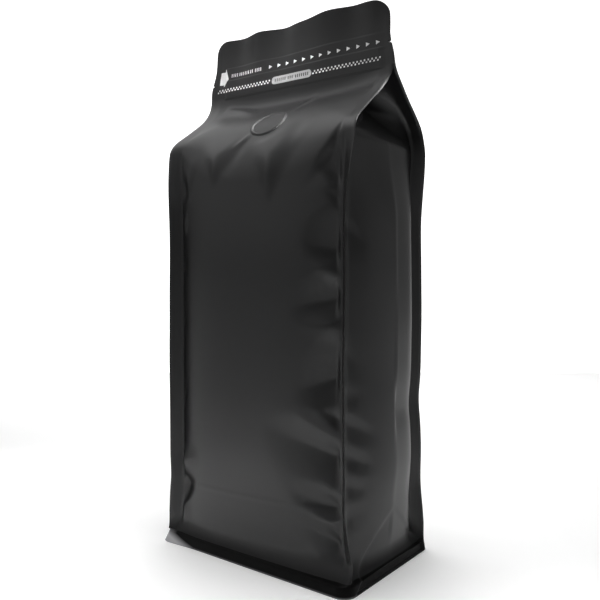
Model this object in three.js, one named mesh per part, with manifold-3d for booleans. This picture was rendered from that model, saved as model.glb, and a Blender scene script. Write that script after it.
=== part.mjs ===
import * as THREE from "three";
import { mergeVertices } from "three/addons/utils/BufferGeometryUtils.js";
import Module from "manifold-3d";

// A filled block bottom coffee bag. Four film walls are welded along upright corner fins, the base
// is flat with a welded skirt round it, the sides tuck in under the shoulder, and the top is
// pressed into a flat header that carries the zip. Millimetres, +Z up, front towards -Y, origin on
// the ground under the middle of the bag.

// ---------- driving dimensions ----------
const BAG_HEIGHT = 337;
const CORNER_HALF_DEPTH = 38.6; // middle of the bag to the root of a corner fin, front to back
const FIN_WIDTH = 9;
const FIN_THICKNESS = 0.8;
const FIN_TURN_BODY = Math.PI / 4; // corner fins stand off the body on the diagonal

// Middle of the bag to the root of a corner fin, across the front, by height.
const CORNER_HALF_WIDTHS = [
  { height: 8, halfWidth: 64 },
  { height: 45, halfWidth: 62 },
  { height: 200, halfWidth: 62 },
  { height: 250, halfWidth: 63 },
  { height: 276, halfWidth: 60.2 },
  { height: 300, halfWidth: 63.1 },
  { height: 319, halfWidth: 59.4 },
  { height: 337, halfWidth: 58.9 },
];

// The welded skirt round the base. Its front edge stands further out on the right.
const SKIRT_HEIGHT = 6;
const SKIRT_HALF_WIDTH = 74;
const SKIRT_EDGE_ROUNDING = 0.4;

const FRONT_SWELL = 7; // how far the filled walls stand out past their corner seams
const SIDE_SWELL = 11;

const FOLD_HEIGHT = 253; // the side walls fold inwards here
const TUCK_APEX = { height: 275, halfWidth: 50 }; // where the two halves of a side wall meet
const TUCK_END_HALF_WIDTH = 27; // how deep the tuck runs at the foot of the header
const TUCK_GAP = 0.2;

const HEADER_BASE = 298;
const HEADER_MIDDLE = 0.5; // the header stands this far behind the middle of the base
const HEADER_LEAN = 2;
const HEADER_HALF_THICKNESS = 1.1;
const HEADER_CORNER_RADIUS = 9;

const ZIP = { bottom: 297, step: 309, top: 318, halfWidth: 59.5, rise: 0.9, tabRise: 0.6 };
const TEAR_NOTCH = { depth: 1.8, height: 1.6, leftHeight: 307, rightHeight: 311.7 };
const VALVE = { height: 268, radius: 11.5, rimWidth: 1.3, rimRise: 0.9, plateRise: 0.4, sunk: 1.6 };
const VALVE_CLEARANCE = 0.3;

// Each wall leans in as a straight slope that meets the middle plane at slopeTop. It rolls over
// into the slope and back out of it, and the back stands out a little before it rolls over.
const FRONT = {
  side: -1, slopeTop: 288.7, slope: 1.31, rollOver: 7, rollOut: 14, shoulderRise: 0,
  skirtDepth: 48.6, skirtSkew: 3.2, skirtCorners: { left: 4, right: 8 },
};
const BACK = {
  side: 1, slopeTop: 297.9, slope: 1.5, rollOver: 12, rollOut: 8, shoulderRise: 1.4,
  skirtDepth: 44.4, skirtSkew: 0, skirtCorners: { left: 5, right: 5 },
};

// Soft upright waves in the header: where, how far the film leans back, and how wide.
const HEADER_WAVES = [
  { x: -47, lean: 3, width: 9 },
  { x: -29, lean: -1.6, width: 7 },
  { x: -11, lean: 3.2, width: 9 },
  { x: 29, lean: -6, width: 16 },
  { x: 56, lean: -3, width: 9 },
];

// ---------- small helpers ----------
function ramp(value, from, to) {
  return THREE.MathUtils.smoothstep(value, from, to);
}

function share(value, from, to) {
  return THREE.MathUtils.clamp((value - from) / (to - from), 0, 1);
}

function mix(a, b, part) {
  return a + (b - a) * part;
}

function softMin(a, b, reach) {
  const overlap = Math.max(reach - Math.abs(a - b), 0) / reach;
  return Math.min(a, b) - (overlap * overlap * reach) / 4;
}

function softMax(a, b, reach) {
  return -softMin(-a, -b, reach);
}

// ---------- how the bag changes with height ----------
function middlePlane(z) {
  return HEADER_MIDDLE * ramp(z, FOLD_HEIGHT, HEADER_BASE);
}

// Distance from the middle of the bag to a fin root, across the front.
function cornerHalfWidth(z) {
  let halfWidth = CORNER_HALF_WIDTHS[0].halfWidth;
  for (let index = 1; index < CORNER_HALF_WIDTHS.length; index += 1) {
    const [below, above] = [CORNER_HALF_WIDTHS[index - 1], CORNER_HALF_WIDTHS[index]];
    halfWidth = mix(halfWidth, above.halfWidth, ramp(z, below.height, above.height));
  }
  return halfWidth;
}

// Distance of a wall's fin root from the origin's plane: upright, then the slope, then the header.
function cornerDepth(z, wall) {
  const upright = CORNER_HALF_DEPTH + wall.shoulderRise * ramp(z, 225, 258);
  const slope = (wall.slopeTop - z) * wall.slope;
  const header = HEADER_HALF_THICKNESS + wall.side * HEADER_MIDDLE;
  return softMax(softMin(upright, slope, wall.rollOver), header, wall.rollOut);
}

// The fins stand on the diagonal on the body and lie in the plane of the front at the header.
function finTurn(z) {
  const foot = mix(0.5, 1, ramp(z, SKIRT_HEIGHT, 50));
  return FIN_TURN_BODY * foot * (1 - ramp(z, 208, 282));
}

function wallSwell(z) {
  const body = ramp(z, SKIRT_HEIGHT, 60) * mix(1, 0.25, ramp(z, 225, 262));
  return FRONT_SWELL * body * (1 - ramp(z, 272, 294));
}

function sideSwell(z) {
  return SIDE_SWELL * mix(0.6, 1, ramp(z, SKIRT_HEIGHT, 48)) * (1 - 0.6 * ramp(z, 215, FOLD_HEIGHT));
}

function zipRise(x, z) {
  if (Math.abs(x) > ZIP.halfWidth || z < ZIP.bottom || z > ZIP.top) {
    return 0;
  }
  return z < ZIP.step ? ZIP.rise : ZIP.tabRise;
}

function headerLean(x, z) {
  const up = share(z, HEADER_BASE, BAG_HEIGHT);
  let lean = HEADER_LEAN * ramp(up, 0, 0.8);
  for (const wave of HEADER_WAVES) {
    lean += wave.lean * Math.exp(-(((x - wave.x) / wave.width) ** 2)) * up ** 1.5;
  }
  return lean;
}

// The header's top corners are rounded by drawing its sides in.
function headerNarrowing(z) {
  const rise = Math.max(z - (BAG_HEIGHT - HEADER_CORNER_RADIUS), 0);
  const drawnIn = HEADER_CORNER_RADIUS - Math.sqrt(Math.max(HEADER_CORNER_RADIUS ** 2 - rise ** 2, 0));
  return 1 - drawnIn / (cornerHalfWidth(z) + FIN_WIDTH);
}

// ---------- one level of the bag ----------
const PANEL_SHARES = [0, 0.14, 0.28, 0.42, 0.56, 0.69, 0.81, 0.9, 0.96, 1];
const LEAF_STEPS = 2; // side wall, from the fin root to the tuck's edge
const FLAP_STEPS = 3; // side wall, from the tuck's edge to its middle

// A quarter of the level from the middle of a wall, round the fin, to the middle of a side.
// Depth is measured towards the wall.
function wallQuarter(z, wall) {
  const rootX = cornerHalfWidth(z);
  const rootDepth = cornerDepth(z, wall);
  const turn = finTurn(z);
  const swell = wallSwell(z);
  const middle = wall.side * middlePlane(z);
  const half = FIN_THICKNESS / 2;
  const along = { x: Math.cos(turn), d: Math.sin(turn) };
  const rootMiddleDepth = rootDepth - half;
  const finPoint = (reach, face) => ({
    x: rootX + along.x * reach - face * half * along.d,
    d: rootMiddleDepth + along.d * reach + face * half * along.x,
  });

  const outerRoot = finPoint(0, 1);
  const points = PANEL_SHARES.map((across) => ({
    x: outerRoot.x * across,
    d: outerRoot.d + swell * (1 - across ** 3),
  }));
  points.push(finPoint(FIN_WIDTH, 1));

  if (z > HEADER_BASE) {
    const edge = rootX + FIN_WIDTH;
    const count = 2 + LEAF_STEPS + FLAP_STEPS;
    for (let step = 1; step <= count; step += 1) {
      points.push({ x: edge, d: mix(rootDepth, middle, step / count) });
    }
    return points;
  }

  const innerRoot = finPoint(0, -1);
  points.push(finPoint(FIN_WIDTH, -1), innerRoot);

  const folded = share(z, FOLD_HEIGHT, TUCK_APEX.height);
  const pressed = share(z, TUCK_APEX.height, HEADER_BASE);
  const openX = cornerHalfWidth(z) + sideSwell(z);
  const foldX = cornerHalfWidth(FOLD_HEIGHT) + sideSwell(FOLD_HEIGHT);
  const tuckX = mix(mix(foldX, TUCK_APEX.halfWidth, folded), TUCK_END_HALF_WIDTH, pressed);
  const middleX = z < FOLD_HEIGHT ? openX : tuckX;
  const roundedX = mix(innerRoot.x, Math.min(openX, foldX), 0.4);
  const edgeX = mix(roundedX, tuckX, ramp(folded, 0, 0.5));
  const edgeDepth = mix(innerRoot.d - 4, middle + TUCK_GAP, folded);
  for (let step = 1; step <= LEAF_STEPS; step += 1) {
    const across = step / LEAF_STEPS;
    points.push({ x: mix(innerRoot.x, edgeX, across), d: mix(innerRoot.d, edgeDepth, across) });
  }
  for (let step = 1; step <= FLAP_STEPS; step += 1) {
    const across = step / FLAP_STEPS;
    points.push({ x: mix(edgeX, middleX, 1 - (1 - across) ** 2), d: mix(edgeDepth, middle, across) });
  }
  return points;
}

// The same quarter of the skirt: straight runs with a rounded corner between them. A quarter on the
// left is worked out as if on the right, and wallHalf turns it over.
function skirtQuarter(z, wall, isRight, count) {
  const inset = z < 1 ? SKIRT_EDGE_ROUNDING : 0;
  const skew = isRight ? wall.skirtSkew : -wall.skirtSkew;
  const corner = isRight ? wall.skirtCorners.right : wall.skirtCorners.left;
  const cornerX = SKIRT_HALF_WIDTH - inset - corner;
  const depthAt = (x) => wall.skirtDepth - inset + (skew * x) / SKIRT_HALF_WIDTH;
  const cornerD = depthAt(cornerX) - corner;
  const points = PANEL_SHARES.map((across) => ({ x: cornerX * across, d: depthAt(cornerX * across) }));
  const arcSteps = 3;
  for (let step = 1; step <= arcSteps; step += 1) {
    const angle = ((step / arcSteps) * Math.PI) / 2;
    points.push({ x: cornerX + corner * Math.sin(angle), d: cornerD + corner * Math.cos(angle) });
  }
  const left = count - points.length;
  for (let step = 1; step <= left; step += 1) {
    points.push({ x: cornerX + corner, d: cornerD * (1 - step / left) });
  }
  return points;
}

// Half of the level, from the middle of the left side, along the wall, to the middle of the right.
function wallHalf(z, wall) {
  const wallPoints = wallQuarter(z, wall);
  const skirtShare = 1 - ramp(z, SKIRT_HEIGHT, SKIRT_HEIGHT + 4);
  const narrowing = headerNarrowing(z);
  const [left, right] = [false, true].map((isRight) => {
    const skirtPoints = skirtQuarter(z, wall, isRight, wallPoints.length);
    return wallPoints.map((point, index) => ({
      x: mix(point.x, skirtPoints[index].x, skirtShare) * narrowing * (isRight ? 1 : -1),
      d: mix(point.d, skirtPoints[index].d, skirtShare),
      onWall: index <= PANEL_SHARES.length,
    }));
  });
  return [...left.slice(1).reverse(), ...right].map(({ x, d, onWall }) => {
    const relief = onWall && wall === FRONT ? zipRise(x, z) : 0;
    return new THREE.Vector3(x, wall.side * (d + relief) + headerLean(x, z), z);
  });
}

// The whole level as a loop, anticlockwise from above, from the middle of the left side.
function bagLevel(z) {
  const front = wallHalf(z, FRONT);
  const back = wallHalf(z, BACK).slice(1, -1).reverse();
  return [...front, ...back];
}

// ---------- closed solid from levels ----------
function loft(levels) {
  const count = levels[0].length;
  const indices = [];
  for (let level = 0; level + 1 < levels.length; level += 1) {
    for (let index = 0; index < count; index += 1) {
      const next = (index + 1) % count;
      const [a, b] = [level * count + index, level * count + next];
      const [c, d] = [a + count, b + count];
      indices.push(a, b, d, a, d, c);
    }
  }
  // The ends close straight across, from each point of the front to the one behind it.
  const top = (levels.length - 1) * count;
  for (let index = 0; index < count / 2; index += 1) {
    const [a, b] = [index, index + 1];
    const [c, d] = [(count - a) % count, count - b];
    if (a !== c) {
      indices.push(a, c, b);
      indices.push(top + a, top + b, top + c);
    }
    if (b !== d) {
      indices.push(b, c, d);
      indices.push(top + b, top + d, top + c);
    }
  }
  const geometry = new THREE.BufferGeometry();
  const positions = levels.flat().flatMap((point) => point.toArray());
  geometry.setAttribute("position", new THREE.Float32BufferAttribute(positions, 3));
  geometry.setIndex(indices);
  return geometry;
}

const wasm = await Module();
wasm.setup();

function toSolid(geometry) {
  const bare = geometry.clone();
  bare.deleteAttribute("normal");
  bare.deleteAttribute("uv");
  const merged = mergeVertices(bare, 1e-4);
  const mesh = new wasm.Mesh({
    numProp: 3,
    vertProperties: new Float32Array(merged.attributes.position.array),
    triVerts: new Uint32Array(merged.index.array),
  });
  return new wasm.Manifold(mesh);
}

function toGeometry(solid) {
  const mesh = solid.getMesh();
  const geometry = new THREE.BufferGeometry();
  geometry.setAttribute("position", new THREE.BufferAttribute(mesh.vertProperties, 3));
  geometry.setIndex(new THREE.BufferAttribute(mesh.triVerts, 1));
  geometry.computeVertexNormals();
  return geometry;
}

// ---------- pouch ----------
// Levels crowd together where the bag folds and stand apart on the plain body.
function pouchHeights() {
  const spans = [
    { to: 1, step: 1 },
    { to: SKIRT_HEIGHT, step: 5 },
    { to: 12, step: 2 },
    { to: 52, step: 8 },
    { to: 196, step: 18 },
    { to: 244, step: 8 },
    { to: FOLD_HEIGHT, step: 4.5 },
    { to: TUCK_APEX.height, step: 4.4 },
    { to: 295, step: 4 },
    { to: 296.5, step: 1.5 },
    { to: ZIP.bottom, step: 0.5 },
    { to: HEADER_BASE, step: 1 },
    { to: HEADER_BASE + 1, step: 1 },
    { to: ZIP.step - 0.2, step: 4.9 },
    { to: ZIP.step, step: 0.2 },
    { to: ZIP.top, step: 4.5 },
    { to: ZIP.top + 0.6, step: 0.6 },
    { to: BAG_HEIGHT - HEADER_CORNER_RADIUS, step: 5 },
  ];
  const heights = [0];
  for (const { to, step } of spans) {
    const from = heights[heights.length - 1];
    const count = Math.max(Math.round((to - from) / step), 1);
    for (let index = 1; index <= count; index += 1) {
      heights.push(mix(from, to, index / count));
    }
  }
  for (let angle = 15; angle <= 90; angle += 15) {
    const rise = HEADER_CORNER_RADIUS * Math.sin(THREE.MathUtils.degToRad(angle));
    heights.push(BAG_HEIGHT - HEADER_CORNER_RADIUS + rise);
  }
  return heights;
}

// Middle of the valve on the front slope, and the way it faces.
const valveFacing = new THREE.Vector3(0, -1, FRONT.slope).normalize();
const valveDepth = cornerDepth(VALVE.height, FRONT) + wallSwell(VALVE.height);
const valveCentre = new THREE.Vector3(0, -valveDepth, VALVE.height);
const valveTurn = new THREE.Quaternion().setFromUnitVectors(new THREE.Vector3(0, 1, 0), valveFacing);

function valvePocket() {
  const radius = VALVE.radius + VALVE_CLEARANCE;
  const depth = VALVE.sunk + VALVE_CLEARANCE;
  const headroom = 6;
  const pocket = new THREE.CylinderGeometry(radius, radius, depth + headroom, 48);
  pocket.translate(0, (headroom - depth) / 2, 0);
  pocket.applyQuaternion(valveTurn);
  pocket.translate(valveCentre.x, valveCentre.y, valveCentre.z);
  return pocket;
}

function tearNotch(side, height) {
  const outline = new THREE.Shape();
  outline.moveTo(-TEAR_NOTCH.depth, 0);
  outline.lineTo(1, -TEAR_NOTCH.height);
  outline.lineTo(1, TEAR_NOTCH.height);
  outline.closePath();
  const reach = 20;
  const notch = new THREE.ExtrudeGeometry(outline, { depth: reach, bevelEnabled: false });
  notch.translate(0, 0, -reach / 2);
  notch.rotateX(Math.PI / 2);
  notch.rotateZ(side < 0 ? Math.PI : 0);
  notch.translate(side * (cornerHalfWidth(height) + FIN_WIDTH), HEADER_MIDDLE, height);
  return notch;
}

function makePouch() {
  let solid = toSolid(loft(pouchHeights().map(bagLevel)));
  const leftNotch = tearNotch(-1, TEAR_NOTCH.leftHeight);
  const rightNotch = tearNotch(1, TEAR_NOTCH.rightHeight);
  const cuts = [valvePocket(), leftNotch, rightNotch];
  for (const cut of cuts) {
    solid = solid.subtract(toSolid(cut));
  }
  const film = new THREE.MeshStandardMaterial({ color: 0x1d1d1e, roughness: 0.45, metalness: 0 });
  const pouch = new THREE.Mesh(toGeometry(solid), film);
  pouch.name = "pouch";
  return pouch;
}

// ---------- degassing valve ----------
// A round plate with a raised rim, let into the front slope.
function makeValve() {
  const { radius, rimWidth, rimRise, plateRise, sunk } = VALVE;
  const profile = [
    new THREE.Vector2(0, -sunk),
    new THREE.Vector2(radius, -sunk),
    new THREE.Vector2(radius, rimRise * 0.6),
    new THREE.Vector2(radius - rimWidth * 0.35, rimRise),
    new THREE.Vector2(radius - rimWidth * 0.65, rimRise),
    new THREE.Vector2(radius - rimWidth, plateRise),
    new THREE.Vector2(0, plateRise),
  ];
  const geometry = new THREE.LatheGeometry(profile, 48);
  const plastic = new THREE.MeshStandardMaterial({ color: 0x232324, roughness: 0.5, metalness: 0 });
  const valve = new THREE.Mesh(geometry, plastic);
  valve.name = "valve";
  valve.quaternion.copy(valveTurn);
  valve.position.copy(valveCentre);
  return valve;
}

const bag = new THREE.Group();
bag.add(makePouch(), makeValve());

// The skirt reaches further forward than back, so the bag moves until the origin is under the
// middle of its outer box.
const outerBox = new THREE.Box3().setFromObject(bag, true);
bag.position.y = -(outerBox.min.y + outerBox.max.y) / 2;

export default bag;
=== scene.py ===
import math

import bpy
import numpy as np
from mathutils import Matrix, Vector


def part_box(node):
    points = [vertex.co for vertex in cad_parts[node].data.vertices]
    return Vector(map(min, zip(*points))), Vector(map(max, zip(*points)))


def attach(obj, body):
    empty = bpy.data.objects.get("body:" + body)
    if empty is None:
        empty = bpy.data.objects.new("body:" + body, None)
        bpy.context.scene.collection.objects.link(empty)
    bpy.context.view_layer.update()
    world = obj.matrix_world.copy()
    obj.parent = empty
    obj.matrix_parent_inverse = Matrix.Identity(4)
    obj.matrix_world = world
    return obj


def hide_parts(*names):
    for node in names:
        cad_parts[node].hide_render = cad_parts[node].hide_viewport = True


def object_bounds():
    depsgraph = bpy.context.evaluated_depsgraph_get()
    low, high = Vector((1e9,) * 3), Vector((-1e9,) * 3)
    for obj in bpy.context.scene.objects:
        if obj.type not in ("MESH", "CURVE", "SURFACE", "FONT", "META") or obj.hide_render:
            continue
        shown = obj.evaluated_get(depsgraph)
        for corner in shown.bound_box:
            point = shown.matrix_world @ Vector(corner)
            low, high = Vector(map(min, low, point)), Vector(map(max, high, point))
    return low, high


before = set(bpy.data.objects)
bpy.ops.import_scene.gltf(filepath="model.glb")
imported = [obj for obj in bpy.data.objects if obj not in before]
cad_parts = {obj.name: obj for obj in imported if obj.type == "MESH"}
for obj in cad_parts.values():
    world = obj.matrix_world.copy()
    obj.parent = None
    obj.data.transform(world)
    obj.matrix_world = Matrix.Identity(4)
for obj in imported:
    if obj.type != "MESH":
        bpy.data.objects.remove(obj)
cad_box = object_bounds()
bpy.ops.object.select_all(action="DESELECT")

# ---------------------------------------------------------------------------
# Film pouch
# One welded bag of laminated film, filled tight with beans. Four walls meet in
# upright corner fins, the side walls tuck in under the shoulder, the base edge
# is a welded skirt, and the top is pressed flat round the zip tape.
# ---------------------------------------------------------------------------

MM = 0.001

BAG_HEIGHT = round(cad_box[1].z / MM, 1)
CORNER_HALF_DEPTH = 38.6
FIN_WIDTH = 9.0
FIN_THICKNESS = 0.36
FIN_TURN_BODY = math.radians(50)
FIN_FLATTENS = (208, 282)

# Middle of the bag to the root of a corner fin, across the front: height, half width.
CORNER_HALF_WIDTHS = [
    (8, 64), (45, 62), (200, 62), (250, 63), (276, 60.2), (300, 63.1), (319, 59.4), (337, 58.9),
]

# How far the film swells out between its seams, the height at which a swell is full, and the
# heights between which it fades or turns inwards.
WALL_SWELL, WALL_FULL_HEIGHT, WALL_FADE = 8.5, 105, (170, 250)
SIDE_SWELL, SIDE_FULL_HEIGHT, SIDE_FADE_START = 12, 85, 205
SLOPE_SWELL, SLOPE_TURN = 2.0, (264, 290)
BACK_RISE_SPAN = (225, 258)
# How softly the middle of a wall rolls over into the slope.
MIDDLE_ROLL = 34.0

SKIRT_HEIGHT = 6.0
SKIRT_HALF_WIDTH = round(cad_box[1].x / MM, 1)
SKIRT_LEDGE = 1.5
SKIRT_FLARE = 0.7
FOOT_HEIGHT = 20.0
FOOT_SHARE = 0.85

FOLD_HEIGHT = 253.0
TUCK_APEX_HEIGHT = 275.0
TUCK_APEX_HALF_WIDTH = 50.0
TUCK_END_HALF_WIDTH = 27.0
TUCK_GAP = 0.2

HEADER_BASE = 298.0
HEADER_MIDDLE = 0.5
HEADER_LEAN = 2.0
HEADER_HALF_THICKNESS = 0.7
HEADER_CORNER_RADIUS = 9.0
# Tear notches in the left and right edge: height above the base, and their size.
TEAR_NOTCHES = (307.0, 311.7)
NOTCH_DEPTH, NOTCH_HALF_HEIGHT = 1.3, 0.8
# Soft upright waves in the header: where, how far the film leans back, how wide.
HEADER_WAVES = [(-47, 3, 9), (-29, -1.6, 7), (-11, 3.2, 9), (29, -6, 16), (56, -3, 9)]

FRONT = {
    "side": -1, "slope_top": 288.7, "slope": 1.31, "roll_over": 7, "roll_out": 14, "rise": 0,
    "skirt_depth": 48.6, "skirt_skew": 3.2, "corners": (4, 8), "side_bend": (2, 0.35),
}
BACK = {
    "side": 1, "slope_top": 297.9, "slope": 1.5, "roll_over": 12, "roll_out": 8, "rise": 1.4,
    "skirt_depth": 44.4, "skirt_skew": 0, "corners": (5, 5), "side_bend": (5, 0.12),
}


def share(value, low, high):
    return np.clip((value - low) / (high - low), 0, 1)


def ramp(value, low, high):
    part = share(value, low, high)
    return part * part * (3 - 2 * part)


def mix(a, b, part):
    return a + (b - a) * part


def soft_min(a, b, reach):
    overlap = np.maximum(reach - np.abs(a - b), 0) / reach
    return np.minimum(a, b) - overlap * overlap * reach / 4


def soft_max(a, b, reach):
    return -soft_min(-a, -b, reach)


def corner_half_width(z):
    half_width = CORNER_HALF_WIDTHS[0][1]
    for (below, _), (above, wide) in zip(CORNER_HALF_WIDTHS, CORNER_HALF_WIDTHS[1:]):
        half_width = mix(half_width, wide, ramp(z, below, above))
    return half_width


def wall_depth(z, wall, fullness=0):
    """Distance of a wall from the middle plane: upright, then the slope, then the header.

    Fullness is 0 at the fins and 1 in the middle, where the film is blown out and rolls softly."""
    upright = CORNER_HALF_DEPTH + wall["rise"] * ramp(z, *BACK_RISE_SPAN) + wall_swell(z) * fullness
    swell = SLOPE_SWELL * mix(1, -1.5, ramp(z, *SLOPE_TURN))
    slope = (wall["slope_top"] - z) * wall["slope"] + swell * fullness
    header = HEADER_HALF_THICKNESS + wall["side"] * HEADER_MIDDLE
    rolled = soft_min(upright, slope, mix(wall["roll_over"], MIDDLE_ROLL, fullness))
    return soft_max(rolled, header, mix(wall["roll_out"], wall["roll_out"] * 0.6, fullness))


def fin_turn(z):
    foot = mix(0.5, 1, ramp(z, SKIRT_HEIGHT, 50))
    return FIN_TURN_BODY * foot * (1 - ramp(z, *FIN_FLATTENS))


def belly(z, full_height):
    """From a half at the base to full at full_height, the way a filled bag swells."""
    return mix(0.5, 1, 1 - (1 - share(z, SKIRT_HEIGHT, full_height)) ** 2)


def wall_swell(z):
    return WALL_SWELL * belly(z, WALL_FULL_HEIGHT) * mix(1, 0.45, ramp(z, *WALL_FADE))


def side_swell(z):
    return SIDE_SWELL * belly(z, SIDE_FULL_HEIGHT) * mix(1, 0.4, ramp(z, SIDE_FADE_START, FOLD_HEIGHT))


def skirt_pull(z):
    """How far the film has turned out to meet the skirt: a soft foot and a sharp ledge under it."""
    foot = (1 - share(z, SKIRT_HEIGHT, FOOT_HEIGHT)) ** 2.2
    return mix(1 - ramp(z, SKIRT_HEIGHT, SKIRT_HEIGHT + SKIRT_LEDGE), 1, FOOT_SHARE * foot)


def header_narrowing(z):
    rise = max(z - (BAG_HEIGHT - HEADER_CORNER_RADIUS), 0)
    drawn_in = HEADER_CORNER_RADIUS - math.sqrt(max(HEADER_CORNER_RADIUS**2 - rise**2, 0))
    return 1 - drawn_in / (corner_half_width(z) + FIN_WIDTH)


def header_lean(x, z):
    up = share(z, HEADER_BASE, BAG_HEIGHT)
    lean = HEADER_LEAN * ramp(up, 0, 0.8)
    for middle, back, width in HEADER_WAVES:
        lean = lean + back * np.exp(-(((x - middle) / width) ** 2)) * up**1.5
    return lean


PANEL_STEPS = 42
FIN_STEPS = 4
LEAF_STEPS = 8
FLAP_STEPS = 20
QUARTER_COUNT = PANEL_STEPS + 1 + FIN_STEPS + 2 + FIN_STEPS + LEAF_STEPS + FLAP_STEPS
# Shares of the way from the middle of a wall to its fin root, closer together at the root.
PANEL_SHARES = 1 - (1 - np.linspace(0, 1, PANEL_STEPS + 1)) ** 1.35


def wall_quarter(z, wall):
    """A quarter of one level, from the middle of a wall, round the fin, to the middle of a side.

    Depth is measured towards the wall."""
    root_x, root_depth = corner_half_width(z), wall_depth(z, wall)
    turn, half = fin_turn(z), FIN_THICKNESS / 2
    middle = wall["side"] * HEADER_MIDDLE * ramp(z, FOLD_HEIGHT, HEADER_BASE)
    along = np.array([math.cos(turn), math.sin(turn)])
    across = np.array([-along[1], along[0]])
    root = np.array([root_x, root_depth - half])

    outer_root = root + across * half
    full_depth = wall_depth(z, wall, 1 - PANEL_SHARES**3.2) - root_depth + outer_root[1]
    panel = np.column_stack([outer_root[0] * PANEL_SHARES, full_depth])
    outward = np.linspace(0, 1, FIN_STEPS + 1)[1:, None] * FIN_WIDTH * along
    outer_face = root + outward + across * half
    outer_face[-1] -= along * half * 0.5

    if z > HEADER_BASE:
        edge_x = root_x + FIN_WIDTH
        count = QUARTER_COUNT - len(panel) - len(outer_face)
        depths = mix(root_depth, middle, np.linspace(0, 1, count + 1)[1:])
        outer_face[:, 1] = root_depth
        edge = np.column_stack([np.full(count, edge_x), depths])
        return np.vstack([panel, outer_face, edge])

    tip = root + along * FIN_WIDTH
    edge = np.vstack([tip + across * half * 0.4, tip - across * half * 0.4])
    inner_face = (root + outward - across * half)[::-1]
    inner_face[0] -= along * half * 0.5
    inner_root = root - across * half
    inner_face = np.vstack([inner_face[1:], inner_root])

    folded = share(z, FOLD_HEIGHT, TUCK_APEX_HEIGHT)
    pressed = share(z, TUCK_APEX_HEIGHT, HEADER_BASE)
    open_x = corner_half_width(z) + side_swell(z)
    fold_x = corner_half_width(FOLD_HEIGHT) + side_swell(FOLD_HEIGHT)
    tuck_x = mix(mix(fold_x, TUCK_APEX_HALF_WIDTH, folded), TUCK_END_HALF_WIDTH, pressed)
    middle_x = open_x if z < FOLD_HEIGHT else tuck_x
    rounded_x = mix(inner_root[0], min(open_x, fold_x), 0.22)
    edge_x = mix(rounded_x, tuck_x, ramp(folded, 0, 0.35))
    edge_depth = mix(inner_root[1] - 4, middle + TUCK_GAP, folded)
    leaf_part = np.linspace(0, 1, LEAF_STEPS + 1)[1:]
    leaf = np.column_stack([mix(inner_root[0], edge_x, leaf_part), mix(inner_root[1], edge_depth, leaf_part)])
    flap_part = np.linspace(0, 1, FLAP_STEPS + 1)[1:]
    bend, flat = wall["side_bend"]
    roof = mix(1 - (1 - flap_part) ** bend, flap_part, flat)
    flap = np.column_stack([mix(edge_x, middle_x, roof), mix(edge_depth, middle, flap_part)])
    return np.vstack([panel, outer_face, edge, inner_face, leaf, flap])


def skirt_quarter(z, wall, is_right):
    """The same quarter of the skirt: straight runs with a rounded corner between them."""
    inset = 0.4 if z < 0.4 else SKIRT_FLARE * z / SKIRT_HEIGHT
    skew = wall["skirt_skew"] if is_right else -wall["skirt_skew"]
    corner = wall["corners"][1 if is_right else 0]
    corner_x = SKIRT_HALF_WIDTH - inset - corner
    run_x = corner_x * PANEL_SHARES
    run = np.column_stack([run_x, wall["skirt_depth"] - inset + skew * run_x / SKIRT_HALF_WIDTH])
    corner_depth_here = run[-1, 1] - corner
    arc_steps = 2 * FIN_STEPS + 2
    angle = np.linspace(0, math.pi / 2, arc_steps + 1)[1:]
    arc = np.column_stack([corner_x + corner * np.sin(angle), corner_depth_here + corner * np.cos(angle)])
    left = QUARTER_COUNT - len(run) - len(arc)
    down = corner_depth_here * (1 - np.linspace(0, 1, left + 1)[1:])
    return np.vstack([run, arc, np.column_stack([np.full(left, corner_x + corner), down])])


def bag_level(z):
    """One level as a loop, anticlockwise from above, from the middle of the left side."""
    halves = []
    for wall in (FRONT, BACK):
        quarter = wall_quarter(z, wall)
        sides = []
        for is_right in (False, True):
            points = mix(quarter, skirt_quarter(z, wall, is_right), skirt_pull(z))
            points[:, 0] *= header_narrowing(z) * (1 if is_right else -1)
            points[:, 1] *= wall["side"]
            sides.append(points)
        halves.append(np.vstack([sides[0][:0:-1], sides[1]]))
    loop = np.vstack([halves[0], halves[1][1:-1][::-1]])
    loop[:, 1] += header_lean(loop[:, 0], z)
    return np.column_stack([loop, np.full(len(loop), z)])


def bag_heights():
    """Levels stand close together at the base, the folds and the zip.

    Each span has the height of its top, and about how far apart its levels stand."""
    spans = [
        (0.4, 0.4), (SKIRT_HEIGHT, 0.9), (8, 0.35), (20, 0.8), (50, 1.2), (225, 1.45), (295.4, 1.05),
        (HEADER_BASE, 0.4), (HEADER_BASE + 0.4, 0.4), (301.4, 0.9), (303.0, 0.32), (308.2, 1.0),
        (309.8, 0.32), (316.8, 1.0), (318.6, 0.36), (BAG_HEIGHT - HEADER_CORNER_RADIUS, 0.95),
    ]
    heights = [0.0]
    for top, step in spans:
        count = max(round((top - heights[-1]) / step), 1)
        heights += list(np.linspace(heights[-1], top, count + 1)[1:])
    for angle in np.radians(np.arange(7.5, 91, 7.5)):
        heights.append(BAG_HEIGHT - HEADER_CORNER_RADIUS * (1 - math.sin(angle)))
    for middle in TEAR_NOTCHES:
        heights += [middle + step for step in (-NOTCH_HALF_HEIGHT, -0.35, 0, 0.35, NOTCH_HALF_HEIGHT)]
    return sorted(heights)


HEIGHTS = np.array(bag_heights())
LEVELS = np.array([bag_level(z) for z in HEIGHTS])
LOOP_COUNT = LEVELS.shape[1]
LEVELS[:, :, 1] += cad_box[0].y / MM - LEVELS[:, :, 1].min()

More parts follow.
